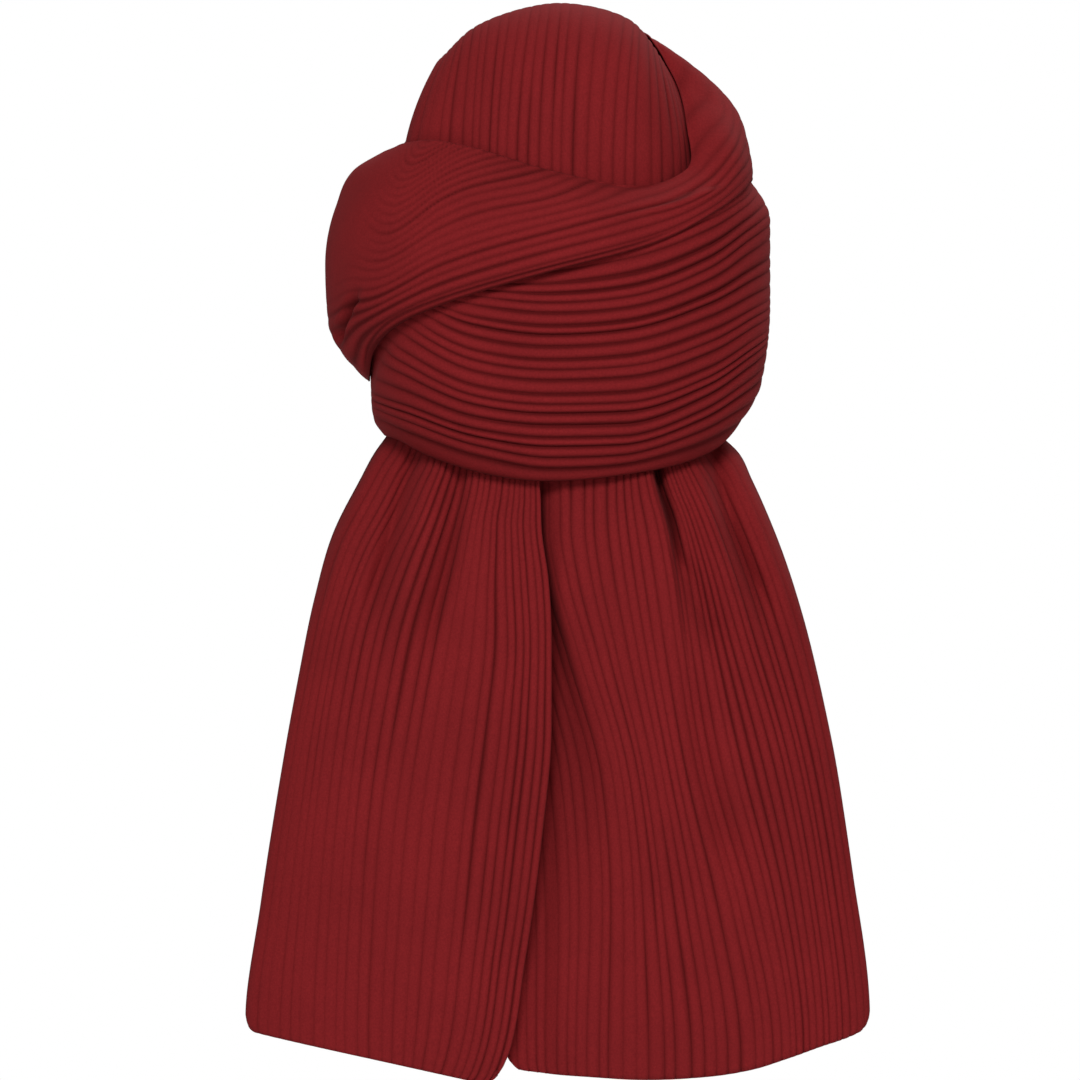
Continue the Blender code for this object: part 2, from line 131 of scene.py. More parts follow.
# The band, one row for each angle round the ring: 0 in front, 90 at the right, 180 behind. Each row has the
# heights of its edges, its radius down its profile as shares of the ring's own, and its grooves' depth
UNDER_AT = (0, 0.2, 0.5, 0.8, 0.92, 1)
UNDER_COLUMNS = "angle top_z low_z r0 r20 r50 r80 r92 r100 depth"
UNDER_ROWS = (
    (-180, 90, -34, 0.88, 0.95, 0.97, 0.93, 0.86, 0.78, 1.4),
    (-135, 60, -42, 0.86, 0.91, 0.92, 0.90, 0.84, 0.77, 1.2),
    (-90, 40, -61, 0.78, 0.80, 0.80, 0.797, 0.785, 0.745, 0.7),
    (-60, 41, -67.5, 0.85, 0.885, 0.885, 0.86, 0.82, 0.76, 1.0),
    (-45, 42, -76, 0.90, 0.94, 0.94, 0.90, 0.84, 0.77, 1.4),
    (0, 52, -92, 0.90, 0.99, 1.00, 0.955, 0.89, 0.80, 2.5),
    (30, 68, -87, 0.95, 0.988, 1.00, 0.955, 0.885, 0.795, 2.4),
    (45, 78, -83, 0.955, 0.985, 1.00, 0.955, 0.885, 0.79, 2.4),
    (65, 88, -75, 0.925, 0.98, 0.995, 0.95, 0.875, 0.785, 2.0),
    (90, 98, -63, 0.85, 0.985, 0.985, 0.945, 0.86, 0.78, 1.9),
    (135, 100, -42, 0.90, 0.97, 0.98, 0.94, 0.87, 0.79, 1.4),
)

# Along the upper wrap's lower edge the band's pleats are flatter, and between these angles it lies back
RECESS_ANGLES = (-85, -60, -5, 35)
RECESS_DEPTH = 3.4
RECESS_HEIGHT = 10
RECESS_FLATTER = 0.6

# Heights of the band's 1st, 4th, 8th, 12th and 16th grooves, counted from below: they fan out to the sides
LINE_AT = (0, 1, 4, 8, 12, 16, BAND_RIBS)
LINE_COLUMNS = "angle z1 z4 z8 z12 z16"
LINE_ROWS = (
    (-180, -28, -11, 11, 34, 56),
    (-135, -36, -22, -3, 15, 33),
    (-90, -51, -34, 5, 23, 33),
    (-60, -57, -40, -2, 19, 31),
    (-45, -64, -45, -12, 14, 28),
    (-20, -78, -60, -34, -6.5, 18),
    (0, -84.5, -65, -39.5, -12.5, 13.5),
    (20, -82.5, -64, -38, -9.5, 17),
    (45, -72, -48.5, -23.5, 5.5, 34),
    (65, -60.5, -31, -7, 19, 52),
    (90, -50, -19, 3, 27.5, 62),
    (135, -35, -16, 10, 35, 61),
)

# The upper wrap in the same way, with its grooves' depth at both edges and how many pleats lie across it
OVER_AT = (0, 0.1, 0.25, 0.5, 0.75, 0.9, 1)
OVER_COLUMNS = "angle top_z low_z r0 r10 r25 r50 r75 r90 r100 depth_top depth_low pleats"
OVER_ROWS = (
    (-180, 155, 42, 0.60, 0.70, 0.84, 0.95, 1.00, 1.00, 0.98, 0.9, 1.1, 18),
    (-150, 135, 20, 0.66, 0.77, 0.90, 0.99, 1.02, 1.01, 0.97, 0.7, 1.1, 20),
    (-120, 118, -7, 0.68, 0.83, 0.94, 1.00, 1.01, 0.97, 0.88, 0.2, 1.6, 19),
    (-90, 109, -31, 0.69, 0.88, 0.957, 1.005, 0.992, 0.91, 0.81, 0, 3.0, 15),
    (-75, 110, -29, 0.71, 0.87, 0.955, 1.01, 1.00, 0.94, 0.84, 0, 3.0, 15),
    (-60, 111, -13, 0.74, 0.85, 0.95, 1.01, 1.02, 0.985, 0.92, 0.05, 2.7, 17),
    (-45, 112, 1, 0.765, 0.84, 0.93, 1.00, 1.03, 1.02, 0.985, 0.6, 1.7, 22),
    (-30, 108, 12, 0.76, 0.84, 0.92, 1.00, 1.03, 1.035, 1.01, 0.9, 1.4, 17),
    (0, 93, 32, 0.745, 0.82, 0.91, 1.00, 1.035, 1.04, 1.015, 1.1, 1.3, 10.8),
    (30, 84, 51, 0.765, 0.83, 0.90, 0.97, 1.00, 1.005, 1.00, 1.1, 1.3, 6.2),
    (50, 95, 70, 0.80, 0.85, 0.90, 0.96, 0.985, 0.985, 0.98, 0.9, 1.0, 5.8),
    (62, 122, 80, 0.69, 0.77, 0.86, 0.935, 0.96, 0.965, 0.96, 0.9, 0.9, 7),
    (75, 147, 88, 0.57, 0.66, 0.77, 0.875, 0.915, 0.93, 0.93, 0.9, 0.8, 8.5),
    (90, 176, 91, 0.43, 0.535, 0.668, 0.825, 0.885, 0.90, 0.905, 0.9, 0.8, 10),
    (120, 180, 83, 0.43, 0.52, 0.66, 0.82, 0.91, 0.945, 0.95, 0.6, 0.8, 12),
    (150, 172, 62, 0.52, 0.60, 0.74, 0.88, 0.96, 0.99, 0.98, 0.9, 1.0, 15),
)

# One row for each arch of the crown, from its left edge, where u is -1, to its right edge, where it is 1
ARCH_COLUMNS = "u foot_x top_x top_z half_depth"
ARCH_ROWS = (
    (-1.00, -90, -71, 154, 0),
    (-0.89, -88.5, -68, 159, 17),
    (-0.78, -86, -64, 163, 32),
    (-0.72, -80, -61, 166, 43),
    (-0.50, -53, -46, 180, 62),
    (-0.17, -20, -11, 193, 74),
    (0.00, 0, 6, 195, CROWN_HALF_DEPTH),
    (0.33, 43, 49, 184, 72),
    (0.50, 66, 61, 170, 60),
    (0.61, 78, 66, 162, 47),
    (0.72, 84, 69, 157, 35),
    (0.86, 87, 72, 153, 18),
    (1.00, 88, 73, 150, 0),
)

# One row for each level of a tail: the height of its outer edge, how much lower its middle is and how roundly
# it hangs, where a few rib lines cross it, from the outer edge to the inner one, how far forward it hangs at
# its edge and middle, and how deep its grooves are at six places. The right tail's x40 is the edge of its
# overlapping fold, and its x70 is the line where its front panel turns back beside the left tail.
LEFT_AT = (0, 0.25, 0.5, 0.75, 1)
LEFT_DEPTHS_AT = (0, 0.3, 0.48, 0.59, 0.7, 1)
LEFT_COLUMNS = "edge_z dip round x0 x25 x50 x75 x100 edge_y middle_y d0 d30 d48 d59 d70 d100"
LEFT_ROWS = (
    (-34.5, 29, 1.0, -84, -66, -46, -24, -6, -6, -75, 0.6, 1.2, 1.7, 0.8, 1.1, 1.5),
    (-63, 29, 1.0, -97, -73, -48, -25, -6, -5, -76, 0.6, 1.2, 1.7, 0.8, 1.1, 1.5),
    (-73, 29, 1.0, -104, -78, -50, -26, -5.5, -10, -78, 0.6, 1.1, 1.8, 0.6, 1.0, 1.5),
    (-90, 29, 0.9, -113, -85, -54, -28, -5, -20, -81, 0.6, 1.0, 1.8, 0.4, 1.0, 1.6),
    (-120, 28, 0.8, -128, -99, -61, -28, -1, -30, -82, 0.5, 0.9, 1.7, 0.25, 1.1, 1.7),
    (-160, 26, 0.6, -139.5, -112, -70, -27, 1, -38, -85, 0.4, 1.0, 1.5, 0.25, 1.2, 1.8),
    (-210, 26, 0.4, -149.5, -122, -79, -31, 1, -45, -88, 0.3, 0.8, 1.1, 0.3, 1.2, 1.8),
    (-270, 27, 0.2, -160, -130, -88, -38, -4, -52, -92, 0.3, 0.5, 0.7, 0.35, 1.1, 1.7),
    (-340, 33, 0.1, -171, -136, -94, -46, -14, -57, -95, 0.35, 0.4, 0.5, 0.4, 0.8, 1.5),
    (-411.5, 38, 0.03, -180, -139, -97, -58, -29, -60, -96, 0.4, 0.4, 0.5, 0.5, 0.7, 1.2),
    (-416.5, 38, 0.03, -179, -139, -97, -60, -33, -60, -96, 0.4, 0.4, 0.5, 0.5, 0.7, 1.2),
)
RIGHT_AT = (0, 0.19, 0.405, 0.554, 0.703, 1)
RIGHT_COLUMNS = "edge_z dip round x0 x19 x40 x55 x70 x100 edge_y middle_y d0 d19 d40 d55 d70 d100"
RIGHT_ROWS = (
    (-34.5, 29, 1.0, 82, 71, 57, 33, -3, -45, -6, -75, 0.5, 0.8, 1.1, 1.0, 1.1, 1.1),
    (-63, 29, 1.0, 101, 79, 59.6, 36, -1.3, -46, -5, -76, 0.5, 0.8, 1.1, 1.0, 1.1, 1.1),
    (-73, 29, 1.0, 111.5, 84, 62, 36, -0.7, -46, -10, -78, 0.5, 0.8, 1.1, 1.0, 1.1, 1.1),
    (-90, 29, 0.9, 120, 91, 66.7, 36.6, -0.7, -45, -20, -80, 0.5, 0.9, 1.1, 0.9, 1.0, 1.0),
    (-120, 28, 0.8, 133, 101.5, 72.6, 40, 3.5, -44, -30, -82, 0.6, 1.2, 1.1, 0.8, 0.9, 0.9),
    (-170, 26, 0.7, 150, 116, 79.5, 48.5, 17, -39, -39, -84, 0.9, 1.3, 0.9, 0.7, 0.8, 0.7),
    (-242, 26, 0.6, 166.6, 136, 91, 63, 36.5, -34, -49, -88, 1.0, 1.2, 1.0, 0.8, 0.8, 0.6),
    (-326, 29, 0.6, 180, 152.5, 113, 77, 43, -28, -56, -91, 1.0, 0.9, 0.9, 0.9, 0.8, 0.6),
    (-409.5, 29, 0.9, 189.5, 161.5, 127, 86.8, 42.5, -26, -60, -93, 0.9, 0.8, 0.8, 0.9, 0.8, 0.8),
    (-414.5, 29, 0.9, 188.5, 161.5, 127, 86.8, 42.5, -24, -60, -93, 0.9, 0.8, 0.8, 0.9, 0.8, 0.8),
)

# Soft folds of the tails: three points of each fold's line, its half width, how far out it stands, and how
# much wider it is on its left than on its right
FOLD_COLUMNS = "x0 z0 x1 z1 x2 z2 half_width out lean"
LEFT_FOLDS = (
    (-50, -56, -57, -120, -77, -205, 6, -8, 0.2),
    (-43, -86, -44, -160, -50, -330, 12, 4, 0),
    (-74, -46, -92, -114, -114, -190, 6, -9, 0),
    (-62, -60, -80, -138, -98, -230, 7, 5, 0),
    (-90, -46, -116, -110, -138, -185, 6, 4, 0),
    (-100, -50, -126, -112, -148, -200, 4, -3, 0),
    (-12, -92, -10, -240, -26, -410, 9, 3, 0),
)
RIGHT_FOLDS = (
    (70, -122, 83, -150, 104, -200, 8, -7, 0),
    (80, -60, 99, -128, 127, -210, 8, 6, 0),
    (88, -40, 107, -114, 137, -190, 6, -11, 0),
    (104, -50, 126, -118, 150, -190, 7, 4, 0),
    (80, -185, 93, -262, 116, -345, 9, -6, 0),
    (14, -86, 26, -170, 66, -345, 13, 5, 0),
    (102, -220, 124, -300, 144, -400, 13, 4, 0),
)
FOLD_RISE = 1.6  # the more, the longer the part of its line where a fold stands out in full
TAIL_STARTS = 20  # over this height a tail leaves the crown's foot
TAIL_BEHIND = (0, 400, -250)  # the tails face away from here
LEFT_LIFT = 5  # how far forward the left tail comes below the band, between these heights
LIFT_Z = (-70, -130)
LAP_DEPTH = 5.5  # how far back the right tail goes behind the left one, between these places
LAP_X = (-3, 9)

# The fold that overlaps on the right tail: how far it stands off, how softly it rises to its edge, and the
# hollow past it, with how far down each one starts, is full, starts to end and ends
OVERLAP_OUT = 9
OVERLAP_RISE = 17
OVERLAP_DROP = 1.5
OVERLAP_DOWN = (72, 103, 115, 215)
HOLLOW_AT = 3.6
HOLLOW_HALF_WIDTH = 3.8
HOLLOW_DEPTH = 15
HOLLOW_DOWN = (58, 78, 108, 154)

# The right tail's near flank: how far it goes back, between which heights down, and how softly it turns at
# its top and at its foot
FLANK_BACK = 19
FLANK_DOWN = (84, 400)
FLANK_SOFT = (2.5, 30)
FLANK_STARTS = 55  # over this height it comes to its full depth
FLANK_LEAD = 12  # its painted shade starts this much further up
FLANK_SHADE_STARTS = 20  # and over this height that painted shade comes to its full darkness
FLANK_FADE = 1.3  # the higher this power, the sooner the flank fades on its way down
PAINTED_FOLD_SHADE = 1.1  # painted shade: the hollow and the flank are darkened as much as a groove this deep

# How much lower than its even curve each hem hangs, at places from left to right
LEFT_HEM = ((-180, -110, -30), (0, 0, 0.6))
RIGHT_HEM = ((-16, 20, 62, 95, 120, 142, 165, 190), (-3.5, 0, 4, 4.7, 3.5, 0, -3, -3.4))
HEM_ONSET = 30  # the higher this power, the nearer to the hem its own shape comes in
CORNER_OUTER = 6  # radii of the hems' corners
CORNER_INNER = 9

# The dark pocket above the bunched rolls at the lower left of the upper wrap
POCKET_ANGLES = (-84, -75, -66, -54)
POCKET_FROM_EDGE = 32
POCKET_HALF_WIDTH = 3.8
POCKET_DEPTH = 11

# The cloth's finish, and the painted shade of its grooves and folds: a noise has its scale, detail and
# roughness, and each end of a ramp a place and a colour
ROUGHNESS = 0.88
SPECULAR = 0.1
SHEEN = 0.03
SHEEN_ROUGHNESS = 0.6
SHEEN_TINT = (0.75, 0.20, 0.20, 1)
GRAIN = (900.0, 3.0, 0.6)
TONE = (22.0, 2.0, 0.5)
THREADS = (1600.0, 2.0, 0.7)
GRAIN_RAMP = ((0.3, (0.178, 0.0095, 0.0115, 1)), (0.7, (0.232, 0.0135, 0.0155, 1)))
TONE_RAMP = ((0.25, (0.93, 0.93, 0.93, 1)), (0.75, (1.05, 1.05, 1.05, 1)))
# painted shade: this ramp darkens the colour where the groove attribute is high, in the grooves and in the
# right tail's hollow and flank
PAINTED_SHADE_RAMP = ((0.05, (1, 1, 1, 1)), (1.0, (0.5, 0.42, 0.42, 1)))
THREAD_STRENGTH = 0.35
THREAD_HEIGHT = 0.0003  # in metres

# Camera and studio, in metres and watts
CAMERA_AT = (-0.006, -6.0, -0.126)
FRAME_WIDTH = 0.648  # what the camera sees across, at the object
SENSOR = 36  # in millimetres
CLIP_END = 60
FLOOR_Z = -0.78
FLOOR_RADIUS = 3.2
FLOOR_CORNERS = 96
FLOOR_COLOUR = (0.86, 0.86, 0.86, 1)
FLOOR_ROUGHNESS = 0.9
WHITE = (1, 1, 1, 1)
AMBIENT = 0.235

# The key light stands in front, above; the back one behind, above, at the right
LIGHT_COLUMNS = "name place aim size power"
LIGHT_ROWS = (
    ("key", (-0.12, -3.25, 2.12), (0, 0, -0.1), 1.3, 92),
    ("front", (-0.4, -4.2, 0.5), (0, 0, -0.15), 2.4, 12),
    ("back", (1.3, 2.3, 3.0), (0, 0, -0.1), 2.0, 75),
)


def table(columns, rows):
    """The rows as one array for each named column."""
    return dict(zip(columns.split(), np.array(rows, float).T))


def smooth(at, known_at, known, period=None):
    """A curve through the known values with no overshoot: cubic pieces whose slopes are limited."""
    x, y = np.asarray(known_at, float), np.asarray(known, float)
    at = np.asarray(at, float)
    if period:
        at = (at - x[0]) % period + x[0]
        x = np.concatenate([x[-2:] - period, x, x[:2] + period])
        y = np.concatenate([y[-2:], y, y[:2]])
    step = np.diff(x)
    slope = np.diff(y) / step
    turn = slope[:-1] * slope[1:] <= 0
    mean = (slope[:-1] * step[1:] + slope[1:] * step[:-1]) / (step[:-1] + step[1:])
    limit = 2 * np.minimum(abs(slope[:-1]), abs(slope[1:]))
    inner = np.where(turn, 0, np.sign(mean) * np.minimum(abs(mean), limit))
    tangent = np.concatenate([[slope[0]], inner, [slope[-1]]])
    i = np.clip(np.searchsorted(x, at, side="right") - 1, 0, len(step) - 1)
    t = np.clip((at - x[i]) / step[i], 0, 1)
    start = (1 + 2 * t) * (1 - t) ** 2 * y[i] + t * (1 - t) ** 2 * step[i] * tangent[i]
    return start + t**2 * (3 - 2 * t) * y[i + 1] + t**2 * (t - 1) * step[i] * tangent[i + 1]


def ease(share):
    """0 to 1 with a soft start and end."""
    t = np.clip(share, 0, 1)
    return t**2 * (3 - 2 * t)


def rise_and_fall(at, four):
    """0 outside the four places, 1 between the middle two, with soft sides."""
    start, full, until, end = four
    return ease((at - start) / (full - start)) * ease((end - at) / (end - until))


def normals(points, wrap=False):
    """Unit normals of a grid of points, from its two directions. With wrap, its first axis is closed."""
    grid = np.concatenate([points[-1:], points, points[:1]]) if wrap else points
    along = np.gradient(grid, axis=0)
    along = along[1:-1] if wrap else along
    normal = np.cross(along, np.gradient(points, axis=1))
    return normal / np.maximum(np.linalg.norm(normal, axis=-1, keepdims=True), 1e-9)


def wander(shape, seed, knots):
    """Slow uneven noise from -1 to 1: random values on a coarse grid, closed along its first axis."""
    values = np.random.default_rng(seed).uniform(-1, 1, knots)
    values = np.concatenate([values, values[:1]])
    rows = np.linspace(0, values.shape[0] - 1, shape[0])
    columns = np.linspace(0, values.shape[1] - 1, shape[1])
    i = np.minimum(rows.astype(int), values.shape[0] - 2)
    j = np.minimum(columns.astype(int), values.shape[1] - 2)
    down, across = ease(rows - i)[:, None], ease(columns - j)[None, :]
    top = values[i][:, j] * (1 - across) + values[i][:, j + 1] * across
    low = values[i + 1][:, j] * (1 - across) + values[i + 1][:, j + 1] * across
    return top * (1 - down) + low * down


def uneven(count, per_rib, seed):
    """Where each line of a grid lies, counted in pleats: even in a pleat, and the grooves a bit off place."""
    grooves = np.arange(count + 1.0)
    grooves[1:-1] += np.random.default_rng(seed).uniform(-UNEVEN, UNEVEN, count - 1)
    return np.interp(np.arange(count * per_rib + 1) / per_rib, np.arange(count + 1), grooves)


def rib(phase, shape):
    """The height of a pleat, from 0 in its groove to 1 on its ridge: the sine of its phase, to a power."""
    return np.abs(np.sin(math.pi * phase)) ** shape


def groove_cut(phase, along, seed, shape=RIB_SHAPE):
    """0 on the ridges; in each groove a share near 1, its own, which changes slowly along it."""
    phase, along = np.broadcast_arrays(phase, along)
    count = int(np.ceil(phase.max())) + 2
    rng = np.random.default_rng(seed)
    own = rng.uniform(*OWN_DEPTH, count)
    slow = rng.uniform(-1, 1, (count, DRIFT_KNOTS))
    index = np.clip(np.round(phase).astype(int), 0, count - 1)
    place = np.clip(along, 0, 1) * DRIFT_SPAN
    knot = place.astype(int)
    t = ease(place - knot)
    drift = slow[index, knot] * (1 - t) + slow[index, knot + 1] * t
    return own[index] * (1 + DRIFT * drift) * (1 - rib(phase, shape))


def capped(points, depth, per_rib, steepness=RIB_STEEPNESS):
    """A groove's depth, no more than its pleat's own width allows."""
    step = np.linalg.norm(np.diff(points, axis=1), axis=-1)
    width = per_rib * np.concatenate([step, step[:, -1:]], axis=1)
    return np.minimum(depth, steepness * width)


def ring_point(angle, radius, z):
    """Degrees round the ring and a share of its radius, as x, y, z."""
    turn = np.radians(angle)
    depth = np.where(np.cos(turn) > 0, RING_FRONT, RING_BACK)
    x = RING_HALF_WIDTH * radius * np.sin(turn)
    y = -depth * radius * np.cos(turn)
    return np.stack(np.broadcast_arrays(x, y, z), axis=-1)


def ring_reach(angle):
    """The ring's own radius at an angle."""
    return np.linalg.norm(ring_point(angle, 1.0, 0.0), axis=-1)


def round_ring(rows, name, angles):
    """A column of a table of the ring, followed smoothly all round, at the given angles."""
    return smooth(angles, rows["angle"], rows[name], 360)


def wrap_grid(rows, at, angles, share):
    """A wrap's radius and height: its table followed smoothly round the ring and down the profile."""
    names = [name for name in rows if name.startswith("r")]
    knots = np.stack([round_ring(rows, name, angles) for name in names], axis=-1)
    radius = np.array([smooth(share, at, line) for line in knots])
    top = round_ring(rows, "top_z", angles)[:, None]
    low = round_ring(rows, "low_z", angles)[:, None]
    return radius, top + (low - top) * share


def crown_grid(u, rise):
    """The front halves of the arches at the given u, at rises from 0 at the spring line to 90 at the top."""
    arches = table(ARCH_COLUMNS, ARCH_ROWS)
    names = ("foot_x", "top_x", "top_z", "half_depth")
    foot_x, top_x, top_z, half = (smooth(u, arches["u"], arches[name]) for name in names)
    up = np.sin(np.radians(rise))[:, None]
    inward = np.abs(np.cos(np.radians(rise)))[:, None] ** CROWN_BOW
    x = foot_x + (top_x - foot_x) * up**2
    y = -half * inward
    z = CROWN_SPRING_Z + (top_z - CROWN_SPRING_Z) * up
    return np.stack(np.broadcast_arrays(x, y, z), axis=-1)


def band_lines(angles, ribs_up):
    """The height of each line of the band's grid, counted in pleats from its lower edge."""
    rows = table(UNDER_COLUMNS, UNDER_ROWS)
    lines = table(LINE_COLUMNS, LINE_ROWS)
    low = round_ring(rows, "low_z", angles)
    top = round_ring(rows, "top_z", angles)
    between = [round_ring(lines, name, angles) for name in lines if name.startswith("z")]
    knots = np.stack([low, *between, top], axis=-1)
    return np.array([smooth(ribs_up, LINE_AT, line) for line in knots])


def foot_z(y):
    """The height of the crown's foot at a depth y: low in front, high behind."""
    return RIM_SIDE_Z + CROWN_FOOT_RISE + RIM_TILT * y / CROWN_HALF_DEPTH


def crown_reach(angle, z):
    """How far out the crown reaches at angles of the ring and heights, as a share of the radius."""
    u = np.linspace(-1, 1, REACH_SAMPLES)
    fine = crown_grid(u, np.linspace(0, 90, REACH_SAMPLES))
    levels = np.linspace(CROWN_SPRING_Z, fine[..., 2].max(), REACH_LEVELS)
    found = np.array([level_reach(fine, level, angle) for level in levels])
    height = np.maximum(z - CROWN_MARGIN, CROWN_SPRING_Z)
    columns = [np.interp(height[k], levels, found[:, k]) for k in range(len(angle))]
    return np.array(columns) + RIDGE / ring_reach(angle)[:, None]


def level_reach(fine, level, angle):
    """The same at one level, from a fine grid of the crown's front half."""
    arches = fine.transpose(1, 2, 0)
    x = np.array([np.interp(level, arch[2], arch[0], right=np.nan) for arch in arches])
    y = np.array([np.interp(level, arch[2], arch[1], right=np.nan) for arch in arches])
    there = ~np.isnan(x)
    found = np.zeros(len(angle))
    if there.sum() < 2:
        return found
    wanted = (angle + 180) % 360 - 180
    front = np.cos(np.radians(angle)) > 0
    for side, depth, sign in ((front, RING_FRONT, 1), (~front, RING_BACK, -1)):
        at = np.degrees(np.arctan2(x / RING_HALF_WIDTH, -sign * y / depth))[there]
        order = np.argsort(at)
        radius = np.hypot(x / RING_HALF_WIDTH, y / depth)[there][order]
        found[side] = np.interp(wanted[side], at[order], radius)
    return found


def band_reach(angle, z):
    """How far out the band reaches, in the same way: the most at and near each height."""
    share = np.linspace(0, 1, REACH_SAMPLES)
    radius, height = wrap_grid(table(UNDER_COLUMNS, UNDER_ROWS), UNDER_AT, angle, share)
    most = np.zeros_like(z)
    for near in (-BAND_MARGIN, 0, BAND_MARGIN):
        profiles = zip(z + near, height[:, ::-1], radius[:, ::-1])
        found = [np.interp(wanted, up, out, left=0) for wanted, up, out in profiles]
        most = np.maximum(most, found - BAND_TOP_FALL * np.maximum(z + near - height[:, :1], 0))
    return most + RIDGE / ring_reach(angle)[:, None]


def tail_drape(column, across, lines_at, start):
    """A tail without its folds: rib lines that hang in a curve. start is 0 at the crown's foot, then 1."""
    lines = np.concatenate([column[name] for name in column if name.startswith("x")], axis=1)
    x = np.array([smooth(across, lines_at, line) for line in lines])
    reach = np.abs(column["x0"])
    inward = np.clip(1 - (x / reach) ** 2, 0, 1) ** 0.5
    dip = column["round"] * inward + (1 - column["round"]) * (1 - np.abs(x) / reach)
    z = column["edge_z"] - column["dip"] * dip
    y = column["edge_y"] + (column["middle_y"] - column["edge_y"]) * inward
    foot = crown_grid(np.linspace(-1, 1, REACH_SAMPLES), np.zeros(1))[0]
    foot_y = np.interp(x, foot[:, 0], foot[:, 1])
    y = foot_y + (y - foot_y) * start
    z = z + (foot_z(foot_y) - FOOT_SEAM - z) * (1 - start)
    return x, y, z


def tail_grid(rows, across, levels, lines_at, folds, hem, lift=0, lap=0, overlap=False):
    """A tail's points, from the top down and from the outer edge in, and how much painted shade each one gets
    in the hollow and the flank.
    """
    down = -rows["edge_z"]
    at = np.linspace(down[0], down[-1], levels)
    column = {name: smooth(at, down, rows[name])[:, None] for name in rows}
    x, y, z = tail_drape(column, across, lines_at, ease((at - at[0]) / TAIL_STARTS)[:, None])
    y = y - fold_out(x, z, folds) - lift * ease((LIFT_Z[0] - z) / (LIFT_Z[0] - LIFT_Z[1]))
    y = y + lap * ease((LAP_X[1] - x) / (LAP_X[1] - LAP_X[0]))
    deep = np.zeros_like(x)
    if overlap:
        flank = flank_share(column["x70"] - x, z)
        hollow = hollow_share(x - column["x40"], z)
        back = FLANK_BACK * ease((-z - FLANK_DOWN[0]) / FLANK_STARTS)
        y = y - overlap_out(x - column["x40"], z) + back * flank + HOLLOW_DEPTH * hollow
        # deep is painted shade for the hollow and the flank, added to the groove attribute that darkens the
        # colour
        deep = np.maximum(flank, hollow)
    share = (at - at[0])[:, None] / (at[-1] - at[0])
    z = z + (round_corners(x[-1]) - smooth(x[-1], *hem))[None, :] * share**HEM_ONSET
    return np.stack([x, y, z], axis=-1), deep


def round_corners(x):
    """How far the hem rises near its two ends: a quarter circle at each."""
    rise = np.zeros_like(x)
    for end, radius in ((x[0], CORNER_OUTER), (x[-1], CORNER_INNER)):
        from_end = np.clip(np.abs(x - end), 0, radius)
        rise += radius - np.sqrt(radius**2 - (radius - from_end) ** 2)
    return rise


def fold_out(x, z, folds):
    """How far the folds bring each point forward: a bell curve across each one's line, fading at its ends."""
    out = np.zeros_like(x)
    for row in folds:
        fold = dict(zip(FOLD_COLUMNS.split(), row))
        heights = (-fold["z0"], -fold["z1"], -fold["z2"])
        centre = smooth(-z, heights, (fold["x0"], fold["x1"], fold["x2"]))
        down = (fold["z0"] - z) / (fold["z0"] - fold["z2"])
        along = ease(FOLD_RISE * (1 - np.abs(2 * down - 1)))
        side = fold["half_width"] * (1 - fold["lean"] * np.sign(x - centre))
        out += fold["out"] * np.exp(-(((x - centre) / side) ** 2)) * along
    return out


def overlap_out(past, z):
    """How far the overlapping fold stands off: it rises slowly to its edge and drops sharply past it."""
    before = np.exp(np.minimum(past, 0) / OVERLAP_RISE)
    after = 1 - ease(past / OVERLAP_DROP)
    return OVERLAP_OUT * np.where(past < 0, before, after) * rise_and_fall(-z, OVERLAP_DOWN)


def hollow_share(past, z):
    """0 to 1 in the hollow just past the overlapping fold's edge."""
    across = np.exp(-(((past - HOLLOW_AT) / HOLLOW_HALF_WIDTH) ** 2)) * ease(past / OVERLAP_DROP)
    return across * rise_and_fall(-z, HOLLOW_DOWN)


def flank_share(past, z):
    """0 to 1 past the flank's line, where the cloth drops back: sharply high up, more softly further down."""
    top, foot = FLANK_DOWN
    down = np.clip((-z - top) / (foot - top), 0, 1)
    soft = FLANK_SOFT[0] + (FLANK_SOFT[1] - FLANK_SOFT[0]) * down
    shown = ease((FLANK_LEAD - z - top) / FLANK_SHADE_STARTS)
    return ease(past / soft) * shown * (1 - down) ** FLANK_FADE


def grid_faces(rows, columns, wrap):
    """Quads of a grid of points; with wrap, its first axis closes on itself."""
    i = np.arange(rows if wrap else rows - 1)[:, None]
    j = np.arange(columns - 1)[None, :]
    a = i * columns + j
    b = (i + 1) % rows * columns + j
    return np.stack([a, b, b + 1, a + 1], axis=-1).reshape(-1, 4)


def cloth_mesh(name, points, faces, uv, groove, inside):
    """A mesh in metres from a grid in millimetres, facing away from the point inside. groove is the painted
    shade that darkens its colour.
    """
    grid = points.reshape(-1, 3) * MM
    mesh = bpy.data.meshes.new(name)
    mesh.from_pydata(grid.tolist(), [], faces.tolist())
    # the groove attribute carries painted shade: how much the colour is darkened in the grooves and folds
    attribute = mesh.attributes.new("groove", "FLOAT", "POINT")
    attribute.data.foreach_set("value", groove.astype(np.float32).reshape(-1))
    corners = np.empty(len(mesh.loops), np.int32)
    mesh.loops.foreach_get("vertex_index", corners)
    layer = mesh.uv_layers.new(name="cloth")
    layer.data.foreach_set("uv", (uv.reshape(-1, 2)[corners] * MM).astype(np.float32).reshape(-1))
    away = grid[faces].mean(axis=1) - np.array(inside) * MM
    side = np.cross(grid[faces[:, 1]] - grid[faces[:, 0]], grid[faces[:, 2]] - grid[faces[:, 0]])
    if (away * side).sum() < 0:
        mesh.flip_normals()
    mesh.polygons.foreach_set("use_smooth", np.ones(len(faces), bool))
    mesh.materials.append(bpy.data.materials["plisse"])
    return mesh


